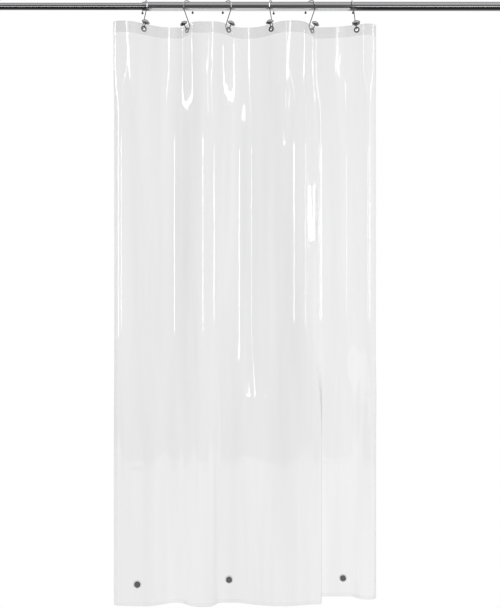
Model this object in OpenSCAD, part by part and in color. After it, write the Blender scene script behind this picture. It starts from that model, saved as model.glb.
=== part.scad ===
// Clear stall curtain with six wire S-hooks on a telescopic tension rod.
// X runs along the rod from the left wall, Z is up, and -Y faces the room.
// The origin is the centre of the left wall pad's face, on the rod's axis.

/* [Rod] */
// Distance between the walls that the rod is braced against
rod_span = 1700; // [1600:10:1800]
// Diameter of the thin inner tube, on the left
inner_tube_d = 22; // [21:0.5:23]
// Diameter of the thick outer tube, on the right
outer_tube_d = 27; // [26:0.5:27]
// Where the outer tube starts, from the left wall
outer_tube_start = 511; // [480:1:512]
// How far the inner tube reaches inside the outer one
tube_overlap = 260; // [220:10:300]

/* [Curtain] */
// Flat width of the film before it is hung in waves
film_w = 914; // [912:1:916]
// Height of the film
film_h = 1829; // [1700:1:1900]
// Drop from the rod's axis to the film's top edge
film_drop = 56; // [55:0.5:57]
// Thickness of the film, drawn a little thicker than real film
film_t = 0.3; // [0.2:0.05:0.4]
// Height of the doubled band along the top
header_h = 35; // [34:1:40]
// Width of the welded hems at the sides and the bottom
hem_w = 12; // [8:1:16]
// Distance from the rod's left end to the film's left edge
film_left = 422.5; // [415:0.5:430]

/* [Hooks] */
// Diameter of the hook wire
wire_d = 2.8; // [2.4:0.1:3]
// Diameter of the domed knob at the wire's front end
knob_d = 25; // [20:1:26]
// Diameter of the ball on the wire's back end
ball_d = 7; // [5:0.5:8]

/* [Grommets] */
// Diameter of the hole through a grommet
grommet_hole_d = 10; // [9:0.5:10.5]
// Outside diameter of a grommet's rings
grommet_d = 18; // [17:0.5:20]

/* [Weights] */
// Diameter of the magnets along the bottom edge
magnet_d = 19; // [15:1:20]
// Height of the magnets' centres above the bottom edge
magnet_rise = 68; // [50:1:80]

/* [Hidden] */
$fn = 48;
tube_fn = 96;
disc_fn = 64;
ball_fn = 32;
wire_fn = 20;

// ---- Rod ----
tube_wall = 1;
pad_t = 6;
pad_d = 44;
spigot_h = 8;
spigot_d = 16;
cap_len = 34;
cap_rim_d = 38;
cap_floor = 4;
cap_nose_wall = 1.5;
inner_tube_end = outer_tube_start + tube_overlap;
expander_half = 23;
expander_flange = 0.2;
expander_stem = 30;
expander_stem_d = 11;
slip_fit = 0.05;
expander_back = inner_tube_end + expander_flange + expander_half;
spring_len = 120;
spring_wire_d = 2;
spring_turns = 10;
spring_mean_d = 17;
turn_steps = 12;
spring_sides = 6;
seat_len = 12;

// ---- The film's waves in plan ----
// Each station is [distance along the top edge, heading in degrees]. Heading 0 runs along
// the rod and a positive heading runs away from the room. Between stations it eases over.
grommet_first = 100;
grommet_pitch = 148;
grommet_count = 6;
flat_half = 11;
grommet_s = [for (k = [0:grommet_count - 1]) grommet_first + k * grommet_pitch];
grommet_heading = [29, -49, 39, -34, 47, -18];
function flat_at(k) = [
    [grommet_s[k] - flat_half, grommet_heading[k]],
    [grommet_s[k] + flat_half, grommet_heading[k]]
];
top_stations = concat(
    [[0, -40], [26, 0]], flat_at(0), [[208, 0]], flat_at(1), [[300, 0], [336, 0]],
    flat_at(2), [[454, 0]], flat_at(3), [[613, 0]], flat_at(4), [[722, 0]],
    flat_at(5), [[877, 0], [film_w, 70]]
);
magnet_s = [76, 382, 796];
// How much higher or lower than magnet_rise each one is welded on
magnet_lift = [1, 6, -8];
magnet_flat = 15;
bottom_stations = [
    [0, -14], [magnet_s[0] - magnet_flat, 0], [magnet_s[0] + magnet_flat, 0],
    [164, 25], [199, 0], [230, -34], [298, 0], [333, 51],
    [magnet_s[1] - magnet_flat, 0], [magnet_s[1] + magnet_flat, 0],
    [427, -15], [638, 10], [670, 0], [682, 84], [722, 84], [734, 0],
    [magnet_s[2] - magnet_flat - 2, 0], [magnet_s[2] + magnet_flat + 2, 0],
    [841, -41], [880, 0], [film_w, 55]
];
// Halfway down the film hangs in flat panels with sharp folds between them
fold_s = [27, 172, 202, 303, 338, 433, 469, 613, 645, 721, 801, 877];
fold_half = [13, 2, 9, 8, 5, 7, 2, 9, 2, 8, 2, 8];
panel_heading = [-37, 21, 1, -30, 0, 30, -1, -19, 0, 44, -2, -29, 48];
middle_stations = concat(
    [[0, panel_heading[0]]],
    [for (k = [0:len(fold_s) - 1]) each [
        [fold_s[k] - fold_half[k], panel_heading[k]],
        [fold_s[k] + fold_half[k], panel_heading[k + 1]]
    ]],
    [[film_w, panel_heading[len(fold_s)]]]
);
// Where the left edge is at the top, the middle and the bottom: right of film_left, and
// back from the rod's axis
edge_starts = [[0, -17], [1.5, -11.4], [0, -11]];
// Each change of shape is [from, to, extra bend], as shares of the height. The extra bend
// halfway through it keeps the hung width the same.
upper_change = [0.06, 0.165, 0.03];
lower_change = [0.5, 0.75, 0.1];

function ease(t) = (1 - cos(180 * min(max(t, 0), 1))) / 2;
function span_of(s, st) = max([for (k = [0:len(st) - 2]) if (s >= st[k][0]) k]);
function heading(s, st) =
    let (k = span_of(s, st), a = st[k], b = st[k + 1])
    a[1] + (b[1] - a[1]) * ease((s - a[0]) / (b[0] - a[0]));
function share(change, down) = ease((down / film_h - change[0]) / (change[1] - change[0]));
function extra(change, w) = 1 + change[2] * 4 * w * (1 - w);
function between(a, b, w) = a * (1 - w) + b * w;
function mixed(s, upper, lower) =
    lower > 0
    ? between(heading(s, middle_stations), heading(s, bottom_stations), lower)
        * extra(lower_change, lower)
    : between(heading(s, top_stations), heading(s, middle_stations), upper)
        * extra(upper_change, upper);
function wave(s, down) = mixed(s, share(upper_change, down), share(lower_change, down));
function edge_start(down) =
    [film_left, 0] + between(
        between(edge_starts[0], edge_starts[1], share(upper_change, down)),
        edge_starts[2], share(lower_change, down)
    );
// Plan points every millimetre along the film, as a running sum of its heading
function plan(down) =
    let (turns = [for (s = [0:film_w]) wave(s + 0.5, down)])
    [for (s = 0, p = edge_start(down); s <= film_w;
          p = p + [cos(turns[s]), sin(turns[s])], s = s + 1) p];
top_plan = plan(0);
bottom_plan = plan(film_h);

// Columns where the film bends, close together in the waves and flat at each grommet
column_steps = 9;
left_end = grommet_s[0] - flat_half;
left_steps = 6;
right_steps = 4;
left_columns = concat(
    [0], [for (k = [0:left_steps - 1]) round(hem_w + k * (left_end - hem_w) / left_steps)]
);
right_start = grommet_s[grommet_count - 1] + flat_half;
right_end = film_w - hem_w;
right_columns = concat(
    [for (k = [1:right_steps]) round(right_start + k * (right_end - right_start) / right_steps)],
    [film_w]
);
wave_columns = [
    for (g = grommet_s) each concat(
        [g - flat_half],
        g == grommet_s[grommet_count - 1] ? [g + flat_half] :
        [for (k = [0:column_steps])
            round(g + flat_half + k * (grommet_pitch - 2 * flat_half) / (column_steps + 1))]
    )
];
columns = concat(left_columns, wave_columns, right_columns);

// Rows down the film, as distances below its top edge
// The shares are where the waves change their shape.
row_shares = [0.06, 0.11, 0.165, 0.5, 0.58, 0.67, 0.75];
film_rows = concat(
    [0, header_h],
    [for (part = row_shares) part * film_h],
    [film_h - magnet_rise - magnet_d, film_h - hem_w, film_h]
);
side_rows = [for (r = film_rows) if (r >= header_h && r <= film_h - hem_w) r];

function side_point(p, h, off) = p + off * [-sin(h), cos(h)];
// One side of a layer: a grid of points, offset to the back of the film's middle by off
function layer_side(cols, rows, off) = [
    for (d = rows)
        let (path = plan(d))
        for (s = cols)
            let (q = side_point(path[s], wave(s, d), off))
            [q[0], q[1], -film_drop - d]
];
// A layer of film between two offsets, following the waves
module layer(cols, rows, near, far) {
    c = len(cols);
    r = len(rows);
    b = c * r;
    points = concat(layer_side(cols, rows, near), layer_side(cols, rows, far));
    front = [for (j = [0:r - 2], i = [0:c - 2]) let (a = j * c + i)
        each [[a, a + 1, a + c + 1], [a, a + c + 1, a + c]]];
    back = [for (f = front) [f[0] + b, f[2] + b, f[1] + b]];
    left = [for (j = [0:r - 2]) let (a = j * c)
        each [[a + b, a, a + c], [a + b, a + c, a + c + b]]];
    right = [for (j = [0:r - 2]) let (a = j * c + c - 1)
        each [[a, a + b, a + b + c], [a, a + b + c, a + c]]];
    top = [for (i = [0:c - 2]) each [[i + b, i + b + 1, i + 1], [i + b, i + 1, i]]];
    low = [for (i = [0:c - 2]) let (a = (r - 1) * c + i)
        each [[a, a + 1, a + b + 1], [a, a + b + 1, a + b]]];
    polyhedron(points, concat(front, back, left, right, top, low), convexity = 8);
}

// ---- Hooks ----
// In the hook's own plane, x is back from the rod's axis and y is up.
wire_r = wire_d / 2;
crest_gap = 0.9;
crest_top = outer_tube_d / 2 + wire_r + crest_gap;
leg_x = 21.8;
crest_r = 31;
shoulder_r = 13;
shoulder_x = leg_x - shoulder_r;
crest_turn = asin(shoulder_x / (crest_r - shoulder_r));
crest_y = crest_top - crest_r;
shoulder_y = crest_y + (crest_r - shoulder_r) * cos(crest_turn);
ball_y = -12;
back_leg_end = ball_y + ball_d / 5;
elbow_r = 6;
elbow_y = -11;
eye_r = 11;
eye_x = 2;
eye_y = -59.9;
// The stem is the straight line that touches the elbow's arc and the eye's arc
elbow_to_eye = [eye_x - (elbow_r - leg_x), eye_y - elbow_y];
elbow_to_eye_l = norm(elbow_to_eye);
stem_turn = atan2(elbow_to_eye[1], elbow_to_eye[0]) + asin((elbow_r + eye_r) / elbow_to_eye_l);
shoulder_steps = 5;
crest_steps = 8;
elbow_steps = 4;
eye_steps = 14;
same_point = 0.01;
tip_rise = 40;
tip_start = [eye_x - eye_r * sin(tip_rise), eye_y - eye_r * cos(tip_rise)];
tip_l = 13;
knob_rim = 2.4;
knob_dome = 6;
knob_collar_d = 8;
knob_collar_h = 3;
// How far each hook is turned from square to the rod, loose in its grommet
hook_heading = [28, -35, 40, -20, 38, -8];
// Sideways lean of each hook, from its eye up to the rod
hook_lean = [-1.8, -4.2, 4.8, -0.9, 7, 10.9];
grommet_drop = film_drop + 16.6;

function grommet_point(k) = top_plan[grommet_s[k]];
// Swing that brings a hook's eye over its grommet, about the rod's axis
function hook_swing(k) = atan(grommet_point(k)[1] / grommet_drop);

module hook_place(k) {
    p = grommet_point(k);
    translate([p[0] - grommet_drop * sin(hook_lean[k]), 0, 0])
        rotate([hook_swing(k), 0, 0])
            rotate([0, -hook_lean[k], 0])
                rotate([0, 0, 90 + hook_heading[k]])
                    rotate([90, 0, 0])
                        children();
}

// Points round an arc of radius r about c, each with the bearing of the wire there
function arc_points(c, r, from, turn, steps) = [
    for (i = [0:steps])
        let (b = from + turn * i / steps, side = turn > 0 ? 90 : -90)
        [c[0] + r * cos(b), c[1] + r * sin(b), b + side]
];
// The wire's middle line, from the ball behind the rod to the knob in front
hook_path = concat(
    [[leg_x, back_leg_end, 90]],
    arc_points([shoulder_x, shoulder_y], shoulder_r, 0, 90 - crest_turn, shoulder_steps),
    arc_points([0, crest_y], crest_r, 90 - crest_turn, 2 * crest_turn, crest_steps),
    arc_points(
        [-shoulder_x, shoulder_y], shoulder_r, 90 + crest_turn, 90 - crest_turn, shoulder_steps
    ),
    arc_points([elbow_r - leg_x, elbow_y], elbow_r, 180, 90 + stem_turn, elbow_steps),
    arc_points(
        [eye_x, eye_y], eye_r, stem_turn + 90, -180 - tip_rise - stem_turn, eye_steps
    ),
    [[tip_start[0] - tip_l * cos(tip_rise), tip_start[1] + tip_l * sin(tip_rise), 180 - tip_rise]]
);
// The same line with the points left out where one stretch ends on the next one's start
wire_path = [
    for (i = [0:len(hook_path) - 1])
        if (i == 0 || norm(hook_path[i] - hook_path[i - 1]) > same_point) hook_path[i]
];
wire_sides = 10;

module hook_wire() {
    n = len(wire_path);
    m = wire_sides;
    points = [for (q = wire_path, j = [0:m - 1])
        let (a = 360 * (j + 0.5) / m)
        [q[0] - wire_r * cos(a) * sin(q[2]), q[1] + wire_r * cos(a) * cos(q[2]), wire_r * sin(a)]];
    walls = [for (i = [0:n - 2], j = [0:m - 1])
        let (p = i * m + j, q = i * m + (j + 1) % m)
        each [[p, p + m, q], [q, p + m, q + m]]];
    ends = [[for (j = [0:m - 1]) j], [for (j = [0:m - 1]) n * m - 1 - j]];
    color("silver") polyhedron(points, concat(walls, ends), convexity = 6);
}

// A bore for the wire's end, from p along a bearing
module wire_bore(p, bearing, length) {
    translate([p[0], p[1], 0])
        rotate([0, 0, bearing])
            rotate([0, 90, 0])
                cylinder(r = wire_r, h = length, $fn = wire_fn);
}

// The small ball crimped on the back end of the wire, resting behind the rod
module hook_ball() {
    color("dimgray") difference() {
        translate([leg_x, ball_y, 0]) sphere(d = ball_d, $fn = ball_fn);
        wire_bore([leg_x, ball_y + ball_d], -90, ball_y + ball_d - back_leg_end);
    }
}

// The domed knob on the front end of the wire, with a stepped rim
module hook_knob() {
    reach = tip_l - 2;
    color("darkgray")
        translate([tip_start[0], tip_start[1], 0])
            rotate([0, 0, 180 - tip_rise])
                rotate([0, 90, 0])
                    difference() {
                        union() {
                            translate([0, 0, reach])
                                cylinder(d = knob_collar_d, h = knob_collar_h);
                            translate([0, 0, reach + knob_collar_h])
                                cylinder(d = knob_d, h = knob_rim);
                            translate([0, 0, reach + knob_collar_h + knob_rim])
                                knob_cap();
                        }
                        cylinder(r = wire_r, h = tip_l, $fn = wire_fn);
                    }
}

module knob_cap() {
    foot_r = knob_d / 2 - 1.5;
    cap_r = (pow(foot_r, 2) + pow(knob_dome, 2)) / (2 * knob_dome);
    intersection() {
        translate([0, 0, knob_dome - cap_r]) sphere(r = cap_r, $fn = disc_fn);
        cylinder(r = foot_r, h = knob_dome + 1);
    }
}

// ---- Grommets ----
film_back = film_t / 2;
header_t = film_t;
ring_gap = 0.3;
ring_t = 1;
lip_t = 0.8;
barrel_wall = 0.6;
barrel_gap = 0.5;
hole_reach = 5;
hole_r = grommet_hole_d / 2;
barrel_r = hole_r + barrel_wall;
front_face = -film_back - ring_gap - ring_t;
back_face = film_back + header_t + ring_gap;

module grommet_place(k) {
    p = grommet_point(k);
    translate([p[0], p[1], -grommet_drop])
        rotate([0, 0, grommet_heading[k]])
            rotate([-90, 0, 0])
                children();
}

module film_hole(k) {
    grommet_place(k)
        translate([0, 0, -hole_reach])
            cylinder(r = barrel_r + barrel_gap, h = 2 * hole_reach);
}

// Front ring with the barrel that goes through the film
module grommet_front() {
    color("silver") difference() {
        union() {
            translate([0, 0, front_face]) cylinder(d = grommet_d, h = ring_t);
            translate([0, 0, front_face])
                cylinder(r = barrel_r, h = back_face + ring_t + lip_t - front_face);
        }
        translate([0, 0, front_face - 1])
            cylinder(r = hole_r, h = back_face + ring_t + lip_t - front_face + 2);
    }
}

// Back ring that the barrel is clinched over
module grommet_back() {
    color("silver") difference() {
        translate([0, 0, back_face]) cylinder(d = grommet_d, h = ring_t);
        translate([0, 0, back_face - 1]) cylinder(r = barrel_r, h = ring_t + 2);
    }
}

// ---- Weights ----
magnet_t = 2.4;
pocket_wall = 0.4;
pocket_gap = 0.4;
pocket_rim = 4;
magnet_z = -film_drop - film_h + magnet_rise;
pocket_foot = film_back + 0.5;
pocket_r = magnet_d / 2 + pocket_gap;

module magnet_place(k) {
    p = bottom_plan[magnet_s[k]];
    translate([p[0], p[1], magnet_z + magnet_lift[k]])
        rotate([0, 0, heading(magnet_s[k], bottom_stations)])
            rotate([90, 0, 0])
                children();
}

// Disc magnet that weighs the film down
module magnet() {
    color("dimgray")
        translate([0, 0, pocket_foot + pocket_gap])
            cylinder(d = magnet_d, h = magnet_t);
}

// Clear cap welded to the film's front, with the magnet inside
module magnet_pocket() {
    cup_h = magnet_t + 2 * pocket_gap + pocket_wall;
    color("whitesmoke", 0.6) difference() {
        union() {
            translate([0, 0, pocket_foot])
                cylinder(r = pocket_r + pocket_rim, h = pocket_wall);
            translate([0, 0, pocket_foot])
                cylinder(r = pocket_r + pocket_wall, h = cup_h);
        }
        translate([0, 0, pocket_foot - 1])
            cylinder(r = pocket_r, h = cup_h - pocket_wall + 1);
    }
}

// ---- Film ----
module curtain_film() {
    color("whitesmoke", 0.5) difference() {
        layer(columns, film_rows, -film_back, film_back);
        for (k = [0:grommet_count - 1]) film_hole(k);
    }
}

module header_band() {
    color("gainsboro", 0.6) difference() {
        layer(columns, [0, header_h], film_back, film_back + header_t);
        for (k = [0:grommet_count - 1]) film_hole(k);
    }
}

module side_hem_left() {
    color("gainsboro", 0.6) layer([0, hem_w], side_rows, film_back, film_back + header_t);
}

module side_hem_right() {
    color("gainsboro", 0.6)
        layer([film_w - hem_w, film_w], side_rows, film_back, film_back + header_t);
}

module bottom_hem() {
    color("gainsboro", 0.6)
        layer(columns, [film_h - hem_w, film_h], film_back, film_back + header_t);
}

// ---- Rod parts, drawn along +Z and laid along +X ----
module along_rod(x) {
    translate([x, 0, 0]) rotate([0, 90, 0]) children();
}

module tube(d, wall, length) {
    difference() {
        cylinder(d = d, h = length, $fn = tube_fn);
        translate([0, 0, -1]) cylinder(d = d - 2 * wall, h = length + 2, $fn = tube_fn);
    }
}

module rod_inner_tube() {
    start = pad_t + cap_floor;
    color("silver") along_rod(start) tube(inner_tube_d, tube_wall, inner_tube_end - start);
}

module rod_outer_tube() {
    color("silver") along_rod(outer_tube_start)
        tube(outer_tube_d, tube_wall, rod_span - pad_t - cap_floor - outer_tube_start);
}

// Twist-lock plug in the inner tube's end, with the stem that guides the spring
module rod_expander() {
    inner_fit = inner_tube_d - 2 * tube_wall - 2 * slip_fit;
    outer_fit = outer_tube_d - 2 * tube_wall - 2 * slip_fit;
    color("ivory") {
        along_rod(inner_tube_end - expander_half)
            cylinder(d = inner_fit, h = expander_half + expander_flange);
        along_rod(inner_tube_end + expander_flange) cylinder(d = outer_fit, h = expander_half);
        along_rod(expander_back) cylinder(d = expander_stem_d, h = expander_stem);
    }
}

// Coil spring that pushes the two tubes apart, swept along a helix
function spring_point(i, j) =
    let (turn = 360 * i / turn_steps,
         climb = (spring_len - spring_wire_d) * i / (spring_turns * turn_steps),
         out = spring_mean_d / 2 + spring_wire_d / 2 * cos(360 * j / spring_sides),
         lift = spring_wire_d / 2 * (1 + sin(360 * j / spring_sides)))
    [out * cos(turn), out * sin(turn), climb + lift];
module rod_spring() {
    n = spring_turns * turn_steps;
    m = spring_sides;
    points = [for (i = [0:n], j = [0:m - 1]) spring_point(i, j)];
    walls = [for (i = [0:n - 1], j = [0:m - 1])
        let (a = i * m + j, b = i * m + (j + 1) % m)
        each [[a, b, a + m], [b, b + m, a + m]]];
    ends = [[for (j = [0:m - 1]) m - 1 - j], [for (j = [0:m - 1]) n * m + j]];
    color("gray") along_rod(expander_back + slip_fit)
        polyhedron(points, concat(walls, ends), convexity = 10);
}

// Plug pinned in the outer tube, which the spring pushes on
module spring_seat() {
    color("ivory") along_rod(expander_back + spring_len + 2 * slip_fit)
        cylinder(d = outer_tube_d - 2 * tube_wall, h = seat_len, $fn = tube_fn);
}

module rod_end_cap(bore_d) {
    color("silver") difference() {
        union() {
            cylinder(d = cap_rim_d, h = cap_floor, $fn = disc_fn);
            translate([0, 0, cap_floor])
                cylinder(d1 = cap_rim_d, d2 = bore_d + 2 * cap_nose_wall,
                         h = cap_len - cap_floor, $fn = disc_fn);
        }
        translate([0, 0, cap_floor]) cylinder(d = bore_d, h = cap_len, $fn = tube_fn);
        translate([0, 0, -1]) cylinder(d = spigot_d, h = cap_floor + 2);
    }
}

module wall_pad() {
    color("darkslategray") {
        cylinder(d = pad_d, h = pad_t, $fn = disc_fn);
        translate([0, 0, pad_t]) cylinder(d = spigot_d, h = spigot_h);
    }
}

// The right end of the rod, as a mirror image of the left one
module at_right_wall() {
    translate([rod_span, 0, 0]) mirror([1, 0, 0]) children();
}

module rod_end_cap_left() {
    along_rod(pad_t) rod_end_cap(inner_tube_d);
}

module rod_end_cap_right() {
    at_right_wall() along_rod(pad_t) rod_end_cap(outer_tube_d);
}

module wall_pad_left() {
    along_rod(0) wall_pad();
}

module wall_pad_right() {
    at_right_wall() along_rod(0) wall_pad();
}

rod_inner_tube();
rod_outer_tube();
rod_expander();
rod_spring();
spring_seat();
rod_end_cap_left();
rod_end_cap_right();
wall_pad_left();
wall_pad_right();
curtain_film();
header_band();
side_hem_left();
side_hem_right();
bottom_hem();
for (k = [0:grommet_count - 1]) {
    grommet_place(k) grommet_front();
    grommet_place(k) grommet_back();
    hook_place(k) hook_wire();
    hook_place(k) hook_ball();
    hook_place(k) hook_knob();
}
for (k = [0:len(magnet_s) - 1]) {
    magnet_place(k) magnet();
    magnet_place(k) magnet_pocket();
}
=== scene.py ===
import math

import bpy
import numpy as np
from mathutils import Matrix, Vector


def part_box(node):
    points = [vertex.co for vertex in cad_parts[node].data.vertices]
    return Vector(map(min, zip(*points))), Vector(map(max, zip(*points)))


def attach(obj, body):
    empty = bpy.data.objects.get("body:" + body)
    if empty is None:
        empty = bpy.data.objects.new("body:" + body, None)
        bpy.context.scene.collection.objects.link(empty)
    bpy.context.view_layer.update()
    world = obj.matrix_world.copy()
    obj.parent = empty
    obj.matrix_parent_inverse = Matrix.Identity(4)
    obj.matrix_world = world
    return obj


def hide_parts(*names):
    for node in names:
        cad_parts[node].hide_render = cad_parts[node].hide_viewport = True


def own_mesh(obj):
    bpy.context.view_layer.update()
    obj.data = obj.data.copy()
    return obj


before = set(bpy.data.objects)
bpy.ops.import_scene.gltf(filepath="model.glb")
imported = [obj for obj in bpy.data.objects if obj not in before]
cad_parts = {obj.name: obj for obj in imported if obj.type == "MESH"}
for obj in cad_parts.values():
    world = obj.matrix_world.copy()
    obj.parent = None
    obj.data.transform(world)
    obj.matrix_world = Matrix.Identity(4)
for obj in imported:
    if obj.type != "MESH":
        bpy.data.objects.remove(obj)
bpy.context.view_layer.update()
MM = 0.001

# ---- Places read from the frame, in metres ----
film_low, film_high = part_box("curtain_film")
film_top = film_high.z
film_left = film_low.x
span_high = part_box("wall_pad_right")[1].x
middle_x = span_high / 2

# ---- The film's flat size and its waves, in millimetres, as the CAD source draws them ----
FILM_W = 914
FILM_H = 1829
FILM_T = 0.3
HEADER_H = 35
HEM_W = 12
GROMMETS = [100 + 148 * k for k in range(6)]
GROMMET_DOWN = 16.6
GROMMET_HOLE_R = 7
MAGNETS = [76, 382, 796]
MAGNET_UP = [69, 74, 60]
# Headings are in degrees away from the rod's direction, positive towards the back
GROMMET_HEADING = [29, -49, 39, -34, 47, -18]
FLAT_HALF = 11


def flat_at(k):
    """The straight stretch of film that a grommet is clinched on."""
    s = GROMMETS[k]
    return [(s - FLAT_HALF, GROMMET_HEADING[k]), (s + FLAT_HALF, GROMMET_HEADING[k])]


# Each shape is a list of stations: distance across the flat film, and the heading there
TOP_STATIONS = [
    (0, -40), (26, 0), *flat_at(0), (208, 0), *flat_at(1), (300, 0), (336, 0),
    *flat_at(2), (454, 0), *flat_at(3), (613, 0), *flat_at(4), (722, 0),
    *flat_at(5), (877, 0), (FILM_W, 70),
]
# The middle is flat panels that meet in folds of these half widths
FOLD_S = [27, 172, 202, 303, 338, 433, 469, 613, 645, 721, 801, 877]
FOLD_HALF = [13, 2, 9, 8, 5, 7, 2, 9, 2, 8, 2, 8]
PANEL_HEADING = [-37, 21, 1, -30, 0, 30, -1, -19, 0, 44, -2, -29, 48]
MIDDLE_STATIONS = [(0, PANEL_HEADING[0])]
for s, half, before, after in zip(FOLD_S, FOLD_HALF, PANEL_HEADING, PANEL_HEADING[1:]):
    MIDDLE_STATIONS += [(s - half, before), (s + half, after)]
MIDDLE_STATIONS.append((FILM_W, PANEL_HEADING[-1]))
BOTTOM_STATIONS = [
    (0, -14), (61, 0), (91, 0), (164, 25), (199, 0), (230, -34), (298, 0), (333, 51),
    (367, 0), (397, 0), (427, -15), (638, 10), (670, 0), (682, 84), (722, 84), (734, 0),
    (779, 0), (813, 0), (841, -41), (880, 0), (FILM_W, 55),
]
# Where the left edge is in plan, for the top, middle and bottom shapes
EDGE_STARTS = np.array([[0, -17], [1.5, -11.4], [0, -11]])
# Shares of the height where the shape starts and ends its change, and how much it deepens
UPPER_CHANGE = (0.06, 0.165, 0.03)
LOWER_CHANGE = (0.5, 0.75, 0.1)
MEET_S = np.arange(FILM_W) + 0.5


def ease(t):
    """0 to 1, with a soft start and end."""
    return (1 - np.cos(np.pi * np.clip(t, 0, 1))) / 2


def headings(stations):
    """Heading in degrees at each millimetre across the film."""
    st = np.array(stations, float)
    k = np.clip(np.searchsorted(st[:, 0], MEET_S, "right") - 1, 0, len(st) - 2)
    t = (MEET_S - st[k, 0]) / (st[k + 1, 0] - st[k, 0])
    return st[k, 1] + (st[k + 1, 1] - st[k, 1]) * ease(t)


TOP, MIDDLE, BOTTOM = (headings(s) for s in (TOP_STATIONS, MIDDLE_STATIONS, BOTTOM_STATIONS))

# How far out a crease and the film that makes room for it reach, and over how far each fades
CREASE_HALF = 6.5
CREASE_EDGE = 3
CREASE_REACH = 38
CREASE_REACH_EDGE = 30
# Shallow creases: where each starts and ends (across, down), and its heading at both
CREASES = [((44, -20), (71, 420), 8.8, 8.0), ((611, -20), (577, 420), -5.8, -5.1)]


def crease(turn, down):
    """Headings with the film held straight along each crease, and eased back beside it."""
    for (s_high, high), (s_low, low), turn_high, turn_low in CREASES:
        along = (down - high) / (low - high)
        strength = ease((along + 0.05) * 8) * ease((0.98 - along) * 6)
        if strength <= 0:
            continue
        middle = s_high + (s_low - s_high) * along
        want = math.radians(turn_high + (turn_low - turn_high) * along)
        gap = np.abs(MEET_S - middle)
        core = ease((CREASE_HALF - gap) / CREASE_EDGE) * strength
        change = core * (want - turn)
        beside = (1 - core) * ease((CREASE_REACH - gap) / CREASE_REACH_EDGE)
        turn = turn + change - beside * change.sum() / beside.sum()
    return turn


def wave(down):
    """Headings and plan points across the film, at a distance below its top edge."""
    upper = ease((down / FILM_H - UPPER_CHANGE[0]) / (UPPER_CHANGE[1] - UPPER_CHANGE[0]))
    lower = ease((down / FILM_H - LOWER_CHANGE[0]) / (LOWER_CHANGE[1] - LOWER_CHANGE[0]))
    start = EDGE_STARTS[0] + (EDGE_STARTS[1] - EDGE_STARTS[0]) * upper
    start = start + (EDGE_STARTS[2] - start) * lower
    if lower > 0:
        turn = MIDDLE + (BOTTOM - MIDDLE) * lower
        turn = turn * (1 + LOWER_CHANGE[2] * 4 * lower * (1 - lower))
    else:
        turn = TOP + (MIDDLE - TOP) * upper
        turn = turn * (1 + UPPER_CHANGE[2] * 4 * upper * (1 - upper))
    turn = crease(np.radians(turn), down)
    x = start[0] + np.concatenate([[0], np.cumsum(np.cos(turn))])
    y = start[1] + np.concatenate([[0], np.cumsum(np.sin(turn))])
    return turn, x, y


# ---- Small shape on the film: packing folds, ripples and pleats ----
# Marks left by the folds of the packing, as distances down the film
FOLD_DOWN = [252, 486, 720, 953, 1177, 1392, 1613]
FOLD_REACH = 8
FOLD_LOW, FOLD_RISE = 0.05, 0.2
# Ripples: height, length across, length down and seed
RIPPLES = [(0.35, 46, 420, 3), (0.08, 15, 160, 4)]
BLOTCH = (0.12, 9, 34, 5)
# Local pleats: middle across the film, half width, depth, and where each starts and ends
PLEATS = [(680, 25, -11.4, 486, 720)]
PLEAT_STREAK = (0.4, 5, 90, 8)
# Calm places: how far out the film stays smooth, and over how far its ripples come back
GROMMET_CALM = (12, 25)
MAGNET_CALM = (15, 30)
CREASE_CALM = (7, 14)
HEADER_CALM = (HEADER_H * 0.3, 60)


def smooth_noise(s, down, s_len, down_len, seed):
    """Soft random ripple from -1 to 1, of the given lengths across and down the film."""
    r = np.random.default_rng(seed)
    gs, gd = int(FILM_W / s_len) + 4, int(FILM_H / down_len) + 4
    grid = r.uniform(-1, 1, (gd, gs))
    u, v = s / s_len + 1, down / down_len + 1
    i, j = np.floor(u).astype(int), np.floor(v).astype(int)
    fu, fv = ease(u - i), ease(v - j)
    i, j = np.clip(i, 0, gs - 2), np.clip(j, 0, gd - 2)
    a = grid[j, i] * (1 - fu) + grid[j, i + 1] * fu
    b = grid[j + 1, i] * (1 - fu) + grid[j + 1, i + 1] * fu
    return a * (1 - fv) + b * fv


def ripples(s, down, height, s_len, down_len, seed):
    """Soft random ripple of the given height."""
    return height * smooth_noise(s, down, s_len, down_len, seed)


def away(distance, place):
    """0 up to the first distance of a calm place, rising to 1 over the second."""
    return ease((distance - place[0]) / place[1])


def calm(s, down):
    """0 on the film's welded and fastened places and its creases, and 1 away from them."""
    m = np.ones(np.broadcast(s, down).shape)
    for g in GROMMETS:
        r = np.hypot(s - g, down - GROMMET_DOWN)
        m = m * away(r, GROMMET_CALM)
    for g, up in zip(MAGNETS, MAGNET_UP):
        r = np.hypot(s - g, down - (FILM_H - up))
        m = m * away(r, MAGNET_CALM)
    for (s_high, high), (s_low, low), _, _ in CREASES:
        along = (down - high) / (low - high)
        r = np.abs(s - s_high - (s_low - s_high) * along)
        m = m * np.where((along > -0.1) & (along < 1.05), away(r, CREASE_CALM), 1)
    return m * away(down, HEADER_CALM)


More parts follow.
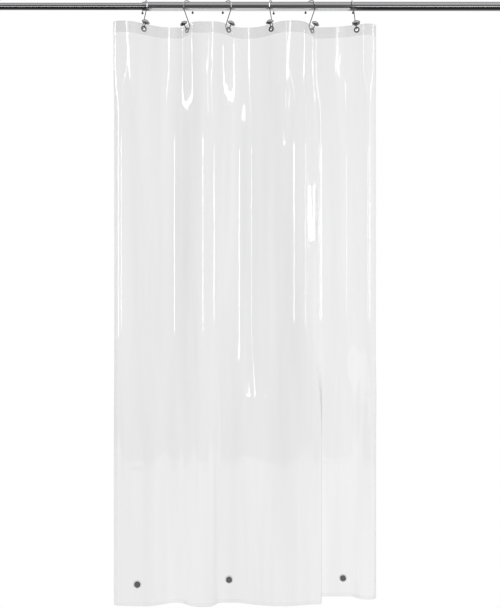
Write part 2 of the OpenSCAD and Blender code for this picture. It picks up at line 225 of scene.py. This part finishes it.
def relief(s, down):
    """Offset of the film towards the back, in millimetres."""
    out = np.zeros(np.broadcast(s, down).shape)
    for k, fold in enumerate(FOLD_DOWN):
        side = 1 if k % 2 else -1
        patch = smooth_noise(s, down * 0 + fold, 38, 400, 20 + k)
        gap = np.abs(down - fold)
        out += side * (FOLD_LOW + FOLD_RISE * ease((patch - 0.15) / 0.5)) * np.exp(-gap / FOLD_REACH)
    for ripple in RIPPLES:
        out += ripples(s, down, *ripple)
    out += ripples(s, down, *BLOTCH) * ease(smooth_noise(s, down, 90, 150, 6) * 1.5)
    for middle, half_width, depth, high, low in PLEATS:
        across = np.clip(1 - np.abs(s - middle) / half_width, 0, 1)
        along = ease((down - high) / 20) * ease((low - down) / 35)
        streaks = ripples(s, down, *PLEAT_STREAK)
        out += (depth * across + streaks * ease(across * 3)) * along
    return out * calm(s, down)


# ---- Meshes ----
def steps(low, high, most):
    """Even positions from low up to high, without high, no further apart than most."""
    n = max(1, int(math.ceil((high - low) / most)))
    return list(np.linspace(low, high, n + 1)[:-1])


def spread(marks, low, high, coarse, fine, reach):
    """Positions from low to high: close together round each mark, wider apart elsewhere."""
    cuts = {low, high}
    for m in marks:
        cuts |= {max(low, m - reach), min(high, m + reach)}
    cuts = sorted(cuts)
    out = []
    for a, b in zip(cuts, cuts[1:]):
        near = any(m - reach - 0.01 <= a and b <= m + reach + 0.01 for m in marks)
        out += steps(a, b, fine if near else coarse)
    return np.array(out + [high])


def points(cols, rows, off):
    """Grid of points on the film, in the row frame in metres, at an offset behind its middle."""
    grid = np.empty((len(rows), len(cols), 3))
    at = np.arange(FILM_W + 1)
    for j, down in enumerate(rows):
        turn, x, y = wave(down)
        h = np.interp(cols, MEET_S, turn)
        push = relief(cols, np.full(len(cols), down)) + off
        grid[j, :, 0] = np.interp(cols, at, x) - push * np.sin(h)
        grid[j, :, 1] = np.interp(cols, at, y) + push * np.cos(h)
        grid[j, :, 2] = -down
    grid *= MM
    grid[:, :, 0] += film_left
    grid[:, :, 2] += film_top
    return grid


def layer(name, cols, rows, near, far, holes=()):
    """A closed thin layer of film between two offsets, with round holes (s, down, radius)."""
    c, r = len(cols), len(rows)
    front, back = points(cols, rows, near), points(cols, rows, far)
    verts = np.concatenate([front.reshape(-1, 3), back.reshape(-1, 3)])
    mid_s = (cols[1:] + cols[:-1]) / 2
    mid_d = (rows[1:] + rows[:-1]) / 2
    keep = np.ones((r - 1, c - 1), bool)
    for s, d, radius in holes:
        keep &= np.hypot(mid_s[None, :] - s, mid_d[:, None] - d) > radius
    j, i = np.nonzero(keep)
    a = j * c + i
    n = r * c
    faces = [np.stack([a, a + c, a + c + 1, a + 1], 1)]
    faces.append(np.stack([a + n, a + 1 + n, a + c + 1 + n, a + c + n], 1))
    padded_keep = np.pad(keep, 1)
    inner = padded_keep[1:-1, 1:-1]
    for dj, di, p, q in ((-1, 0, 0, 1), (1, 0, c + 1, c), (0, -1, c, 0), (0, 1, 1, c + 1)):
        shifted = padded_keep[1 + dj:r + dj, 1 + di:c + di]
        j, i = np.nonzero(inner & ~shifted)
        a = j * c + i
        faces.append(np.stack([a + p, a + q, a + q + n, a + p + n], 1))
    faces = np.concatenate(faces)
    used = np.unique(faces)
    index = np.full(2 * n, -1)
    index[used] = np.arange(len(used))
    mesh = bpy.data.meshes.new(name)
    mesh.from_pydata(verts[used].tolist(), [], index[faces].tolist())
    mesh.validate()
    mesh.update()
    mesh.shade_smooth()
    mesh.set_sharp_from_angle(angle=math.radians(60))
    obj = bpy.data.objects.new(name, mesh)
    bpy.context.scene.collection.objects.link(obj)
    return obj


COARSE_COLUMN, COARSE_ROW, FINE = 4, 8, 2
# Places along the two creases, where the mesh is fine too
crease_marks = [48, 62, 588, 604]
marks = GROMMETS + FOLD_S + MAGNETS + crease_marks
cols = spread(marks, 0, FILM_W, COARSE_COLUMN, FINE, reach=12)
cols = np.unique(np.concatenate([cols, [HEM_W, FILM_W - HEM_W]]))
rows = spread([GROMMET_DOWN] + FOLD_DOWN, 0, FILM_H, COARSE_ROW, FINE, reach=14)
rows = np.unique(np.concatenate([rows, [HEADER_H, FILM_H - HEM_W]]))
HALF_T = FILM_T / 2
holes = [(g, GROMMET_DOWN, GROMMET_HOLE_R) for g in GROMMETS]
film = layer("clear_film", cols, rows, -HALF_T, HALF_T, holes)
# The header band and the hems are second layers behind the film
header = layer("header_film", cols, rows[rows <= HEADER_H], HALF_T, HALF_T + FILM_T, holes)
side_rows = rows[(rows >= HEADER_H) & (rows <= FILM_H - HEM_W)]
hem_left = layer("hem_left", cols[cols <= HEM_W], side_rows, HALF_T, HALF_T + FILM_T)
hem_right = layer("hem_right", cols[cols >= FILM_W - HEM_W], side_rows, HALF_T, HALF_T + FILM_T)
hem_low = layer("hem_bottom", cols, rows[rows >= FILM_H - HEM_W], HALF_T, HALF_T + FILM_T)


# ---- Materials ----
def new_material(name):
    m = bpy.data.materials.new(name)
    m.use_nodes = True
    nodes, links = m.node_tree.nodes, m.node_tree.links
    shader = nodes["Principled BSDF"]
    return m, nodes, links, shader


def noise(nodes, links, scale, detail=3.0, stretch=(1, 1, 1)):
    """Noise fixed to the object, stretched along the axes where stretch is below 1."""
    place = nodes.new("ShaderNodeTexCoord")
    mapping = nodes.new("ShaderNodeMapping")
    mapping.inputs["Scale"].default_value = stretch
    tex = nodes.new("ShaderNodeTexNoise")
    tex.inputs["Scale"].default_value = scale
    tex.inputs["Detail"].default_value = detail
    links.new(place.outputs["Object"], mapping.inputs["Vector"])
    links.new(mapping.outputs["Vector"], tex.inputs["Vector"])
    return tex.outputs["Fac"]


def ramp(nodes, links, value, low, high, a=0.3, b=0.7, kind="LINEAR"):
    """Low where the value is a, and high where it is b."""
    r = nodes.new("ShaderNodeMapRange")
    r.interpolation_type = kind
    r.inputs["From Min"].default_value = a
    r.inputs["From Max"].default_value = b
    r.inputs["To Min"].default_value = low
    r.inputs["To Max"].default_value = high
    links.new(value, r.inputs["Value"])
    return r.outputs["Result"]


def tint(nodes, links, value, dark, light):
    """A colour from dark to light as the value goes from 0 to 1."""
    mix = nodes.new("ShaderNodeMix")
    mix.data_type = "RGBA"
    mix.inputs["A"].default_value = (*dark, 1)
    mix.inputs["B"].default_value = (*light, 1)
    links.new(value, mix.inputs["Factor"])
    return mix.outputs["Result"]


def bump(nodes, links, shader, value, distance, strength=1.0):
    b = nodes.new("ShaderNodeBump")
    b.inputs["Distance"].default_value = distance
    b.inputs["Strength"].default_value = strength
    links.new(value, b.inputs["Height"])
    links.new(b.outputs["Normal"], shader.inputs["Normal"])


def maths(nodes, links, operation, first, second):
    """A maths node on two values, each an output or a number."""
    node = nodes.new("ShaderNodeMath")
    node.operation = operation
    for socket, value in zip(node.inputs, (first, second)):
        if isinstance(value, (int, float)):
            socket.default_value = value
        else:
            links.new(value, socket)
    return node.outputs["Value"]


def metal(name, dark, light, rough_low, rough_high, scale, stretch=(1, 1, 1), dent=0.00002):
    """Bare metal with a faint change of tint and shine across it."""
    m, nodes, links, shader = new_material(name)
    shader.inputs["Metallic"].default_value = 1
    n = noise(nodes, links, scale, 4, stretch)
    links.new(tint(nodes, links, n, dark, light), shader.inputs["Base Color"])
    fine = noise(nodes, links, scale * 6, 2, stretch)
    links.new(ramp(nodes, links, fine, rough_low, rough_high), shader.inputs["Roughness"])
    bump(nodes, links, shader, fine, dent, 0.6)
    return m


def plain(name, dark, light, rough_low, rough_high, scale, dent=0.0001):
    """Rubber, plastic or coating, with a faint change of tint and shine."""
    m, nodes, links, shader = new_material(name)
    n = noise(nodes, links, scale)
    links.new(tint(nodes, links, n, dark, light), shader.inputs["Base Color"])
    fine = noise(nodes, links, scale * 8, 2)
    links.new(ramp(nodes, links, fine, rough_low, rough_high), shader.inputs["Roughness"])
    bump(nodes, links, shader, fine, dent, 0.5)
    return m


def clear_film(name, dull, clear, haze, rough, scale, stretch, dent, gloss=0.045, painted_light=0):
    """Clear plastic: a see-through shader under a glossy skin, with a little white haze.

    The last argument is the share of painted light added to the tint of the film's right part only,
    which makes that side lighter as if more light fell on it.
    """
    m, nodes, links, shader = new_material(name)
    nodes.remove(shader)
    out = nodes["Material Output"]
    clearness_and_painted_light = ramp(nodes, links, noise(nodes, links, scale, 4, stretch), 0, 1 - painted_light)
    if painted_light:
        # Painted light: the tint is made lighter on the film's right part, beyond the given x, as if
        # more light fell there
        place = nodes.new("ShaderNodeTexCoord")
        split = nodes.new("ShaderNodeSeparateXYZ")
        links.new(place.outputs["Object"], split.inputs["Vector"])
        side = ramp(nodes, links, split.outputs["X"], 0, painted_light, *PAINTED_LIGHT_FROM)
        clearness_and_painted_light = maths(nodes, links, "ADD", clearness_and_painted_light, side)
    see = nodes.new("ShaderNodeBsdfTransparent")
    links.new(tint(nodes, links, clearness_and_painted_light, dull, clear), see.inputs["Color"])
    body = nodes.new("ShaderNodeBsdfTranslucent")
    body.inputs["Color"].default_value = (0.95, 0.95, 0.96, 1)
    milky = nodes.new("ShaderNodeMixShader")
    milky.inputs["Fac"].default_value = haze
    links.new(see.outputs["BSDF"], milky.inputs[1])
    links.new(body.outputs["BSDF"], milky.inputs[2])
    skin = nodes.new("ShaderNodeBsdfAnisotropic")
    skin.inputs["Color"].default_value = (1, 1, 1, 1)
    skin.inputs["Roughness"].default_value = rough
    facing = nodes.new("ShaderNodeLayerWeight")
    facing.inputs["Blend"].default_value = 0.5
    steep = maths(nodes, links, "POWER", facing.outputs["Facing"], 5)
    edge = ramp(nodes, links, steep, gloss, 1, 0, 1)
    fine = noise(nodes, links, scale * 5, 3, stretch)
    b = nodes.new("ShaderNodeBump")
    b.inputs["Distance"].default_value = dent
    links.new(fine, b.inputs["Height"])
    links.new(b.outputs["Normal"], skin.inputs["Normal"])
    top = nodes.new("ShaderNodeMixShader")
    links.new(edge, top.inputs["Fac"])
    links.new(milky.outputs["Shader"], top.inputs[1])
    links.new(skin.outputs["BSDF"], top.inputs[2])
    links.new(top.outputs["Shader"], out.inputs["Surface"])
    return m


# The film's right part is painted a little lighter than the rest: painted light in its see-through
# tint, standing in for the light that falls on that side
PAINTED_LIGHT_FROM = (film_left + 0.62, film_left + 0.67)
film_mat = clear_film(
    "film_clear", (0.92,) * 3, (0.98,) * 3, 0.02, 0.06, 14, (1, 1, 0.06), 0.0002, painted_light=0.35
)
header_mat = clear_film(
    "film_header", (0.9,) * 3, (0.955,) * 3, 0.06, 0.15, 50, (1, 1, 0.15), 0.0004
)
hem_mat = clear_film("film_hem", (0.985,) * 3, (1,) * 3, 0.02, 0.12, 90, (1, 1, 1), 0.0004, 0.02)
pocket_mat = clear_film("film_pocket", (0.97,) * 3, (0.99,) * 3, 0.04, 0.08, 90, (1, 1, 1), 0.0003)
rod_mat = metal("chrome_rod", (0.6, 0.6, 0.61), (0.68, 0.68, 0.69), 0.06, 0.1, 12, (0.2, 1, 1))
hook_mat = metal("chrome_hook", (0.42, 0.42, 0.43), (0.52, 0.52, 0.53), 0.08, 0.14, 90)
ring_mat = metal("chrome_ring", (0.68, 0.68, 0.69), (0.8, 0.8, 0.81), 0.1, 0.18, 120)
knob_mat = metal("steel_knob", (0.42, 0.42, 0.43), (0.55, 0.55, 0.56), 0.16, 0.26, 110)
ball_mat = metal("steel_ball", (0.12, 0.12, 0.125), (0.2, 0.2, 0.205), 0.18, 0.3, 160)
spring_mat = metal("steel_spring", (0.45, 0.45, 0.46), (0.6, 0.6, 0.6), 0.2, 0.35, 80)
rubber_mat = plain("pad_rubber", (0.02, 0.02, 0.022), (0.045, 0.045, 0.048), 0.6, 0.85, 60)
core_mat = plain("core_plastic", (0.7, 0.68, 0.62), (0.8, 0.78, 0.72), 0.35, 0.5, 40)
magnet_mat = plain("magnet_coating", (0.09, 0.09, 0.092), (0.16, 0.16, 0.163), 0.35, 0.55, 150)

# The look of each node, by how its name starts. The film's own nodes have none, because
# the soft pieces are shown in their place.
looks = {
    "rod_inner_tube": rod_mat, "rod_outer_tube": rod_mat, "rod_end_cap": rod_mat,
    "wall_pad": rubber_mat, "rod_expander": core_mat, "spring_seat": core_mat,
    "rod_spring": spring_mat, "grommet": ring_mat, "hook_wire": hook_mat,
    "hook_ball": ball_mat, "hook_knob": knob_mat, "magnet_pocket": pocket_mat,
    "magnet": magnet_mat,
}
for name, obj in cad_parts.items():
    look = next((m for start, m in looks.items() if name.startswith(start)), None)
    if look is None:
        continue
    obj.data.materials.clear()
    obj.data.materials.append(look)
    obj.data.shade_smooth()
    obj.data.set_sharp_from_angle(angle=math.radians(40))

# ---- The soft pieces: what they stand for and how they move ----
pieces = [
    (film, film_mat, "film", "curtain_film"),
    (header, header_mat, "header_film", "header_band"),
    (hem_left, hem_mat, "hem_film", "side_hem_left"),
    (hem_right, hem_mat, "hem_film", "side_hem_right"),
    (hem_low, hem_mat, "hem_film", "bottom_hem"),
]
for obj, look, slot, node in pieces:
    obj.data.materials.append(look)
    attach(obj, "curtain")
    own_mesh(obj)
    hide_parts(node)

# ---- Camera: how far back from the rod and how high, and the height it sees there ----
CAMERA_BACK = 2.0
CAMERA_Z = -0.9395
VIEW_HEIGHT = 1.9195
SENSOR = 36
cam_data = bpy.data.cameras.new("camera")
cam = bpy.data.objects.new("camera", cam_data)
bpy.context.scene.collection.objects.link(cam)
cam.location = (middle_x, -CAMERA_BACK, CAMERA_Z)
cam.rotation_euler = (math.pi / 2, 0, 0)
cam_data.sensor_width = SENSOR
cam_data.lens = SENSOR * CAMERA_BACK / VIEW_HEIGHT
bpy.context.scene.camera = cam

# ---- Studio ----
scene = bpy.context.scene
scene.view_settings.view_transform = "Standard"
scene.cycles.transparent_max_bounces = 64
world = bpy.data.worlds.new("studio")
scene.world = world
world.use_nodes = True
nodes, links = world.node_tree.nodes, world.node_tree.links
lit = nodes["Background"]
lit.inputs["Color"].default_value = (1, 1, 1, 1)
lit.inputs["Strength"].default_value = 1.0
room = nodes.new("ShaderNodeBackground")
# Away from the camera's own view the room is dim, and a little lighter to the right,
# with a dark floor and a pale wall behind
way = nodes.new("ShaderNodeTexCoord")
parts = nodes.new("ShaderNodeSeparateXYZ")
links.new(way.outputs["Generated"], parts.inputs["Vector"])
wall = ramp(nodes, links, parts.outputs["Y"], 0, 1, -0.2, 0.5, "SMOOTHSTEP")
sideways = ramp(nodes, links, parts.outputs["X"], 0, 0.36, -1, 1)
shade = nodes.new("ShaderNodeMix")
shade.data_type = "FLOAT"
shade.inputs["B"].default_value = 0.9
links.new(wall, shade.inputs["Factor"])
links.new(sideways, shade.inputs["A"])
underfoot = ramp(nodes, links, parts.outputs["Z"], 0.15, 1, -0.75, -0.4)
dimmed = maths(nodes, links, "MULTIPLY", shade.outputs["Result"], underfoot)
links.new(dimmed, room.inputs["Strength"])
path = nodes.new("ShaderNodeLightPath")
pick = nodes.new("ShaderNodeMixShader")
links.new(path.outputs["Is Camera Ray"], pick.inputs["Fac"])
links.new(room.outputs["Background"], pick.inputs[1])
links.new(lit.outputs["Background"], pick.inputs[2])
links.new(pick.outputs["Shader"], nodes["World Output"].inputs["Surface"])


def card(name, place, aim, width, height, radiance):
    """A soft light card that faces a point."""
    data = bpy.data.lights.new(name, "AREA")
    data.shape = "RECTANGLE"
    data.size, data.size_y = width, height
    data.energy = radiance * math.pi * width * height
    obj = bpy.data.objects.new(name, data)
    scene.collection.objects.link(obj)
    obj.location = place
    obj.rotation_euler = (Vector(aim) - Vector(place)).to_track_quat("-Z", "Y").to_euler()
    obj.visible_camera = False
    return obj


def only_for(light, name, objects):
    """The light falls only on these objects."""
    group = bpy.data.collections.new(name)
    for o in objects:
        group.objects.link(o)
    light.light_linking.receiver_collection = group


film_parts = [film, header, hem_left, hem_right, hem_low]
tubes = [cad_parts[n] for n in ("rod_inner_tube", "rod_outer_tube")]
tubes += [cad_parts[n] for n in ("rod_end_cap_left", "rod_end_cap_right")]
others = [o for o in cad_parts.values() if o not in tubes] + film_parts

top_box = card("top_box", (middle_x, -0.7, 1.5), (middle_x, -0.7, 0), 3.6, 1.5, 0.85)
only_for(top_box, "all_but_tubes", others)
# Upright strips in front give the film its long white streaks, and the low card a pale sheen
film_lights = [
    card("strip_left", (middle_x - 0.85, -2.1, -0.47), (middle_x, 0, -0.47), 0.2, 1.22, 10),
    card("strip_right", (middle_x + 2.0, -2.1, -0.42), (middle_x, 0, -0.42), 0.35, 1.4, 10),
    card("upper_strip", (middle_x - 0.17, -2.1, 0.62), (middle_x, 0, 0.62), 0.08, 0.66, 4),
    card("side_left", (middle_x - 2.4, -0.6, -0.1), (middle_x - 0.2, 0, -0.1), 0.2, 2.1, 9),
    card("side_right", (middle_x + 2.4, -1.0, -0.1), (middle_x + 0.1, 0, -0.1), 0.2, 2.1, 9),
    card("low_card", (middle_x, -1.0, film_low.z - 0.05), (middle_x, -1.0, 0), 4.0, 1.9, 0.45),
]
for light in film_lights:
    only_for(light, "film_parts", film_parts)
# A bar on each side gives the tubes the thin light line along their outer ends
for side in (-1, 1):
    place = (middle_x + side * 2.1, -2.2, -1.15)
    bar = card(f"bar_{side}", place, (place[0], 0, 0), 2.8, 0.25, 2.2)
    only_for(bar, "tubes", tubes)
tube_sky = card("tube_sky", (middle_x, -1.6, 1.0), (middle_x, -1.6, 0), 5.0, 2.8, 0.47)
only_for(tube_sky, "tubes", tubes)
# The pale film that the rod's underside reflects
ends = [sum(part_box(f"hook_wire_{k}"), Vector()).x / 2 for k in (1, 6)]
glow_at = (sum(ends) / 2, 0.05, -0.1)
glow = card("film_glow", glow_at, (glow_at[0], 0.05, 0), ends[1] - ends[0], 0.22, 0.78)
only_for(glow, "tubes", tubes)
wires = [o for n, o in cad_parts.items() if n.startswith("hook_wire")]
sky = card("hook_sky", (middle_x, -2.0, 1.15), (middle_x, 0, 0.1), 4.0, 1.0, 4)
only_for(sky, "wires", wires)
magnets = [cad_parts[f"magnet_{k}"] for k in (1, 2, 3)]
fill = card("magnet_fill", (middle_x, -1.5, -1.4), (middle_x, 0, -1.8), 2.0, 1.0, 5)
only_for(fill, "magnets", magnets)

# ---- Floor: plain white, just below the film ----
floor_mesh = bpy.data.meshes.new("floor")
floor_z = film_low.z - 0.08
left, right, front, back = -0.6, span_high + 0.6, -1.9, 0.8
floor_mesh.from_pydata(
    [(left, front, floor_z), (right, front, floor_z), (right, back, floor_z), (left, back, floor_z)],
    [], [(0, 1, 2, 3)],
)
floor = bpy.data.objects.new("floor", floor_mesh)
scene.collection.objects.link(floor)
floor_mat, nodes, links, shader = new_material("floor_white")
nodes.remove(shader)
white = nodes.new("ShaderNodeEmission")
links.new(white.outputs["Emission"], nodes["Material Output"].inputs["Surface"])
floor_mesh.materials.append(floor_mat)
floor.visible_glossy = False
floor.visible_diffuse = False
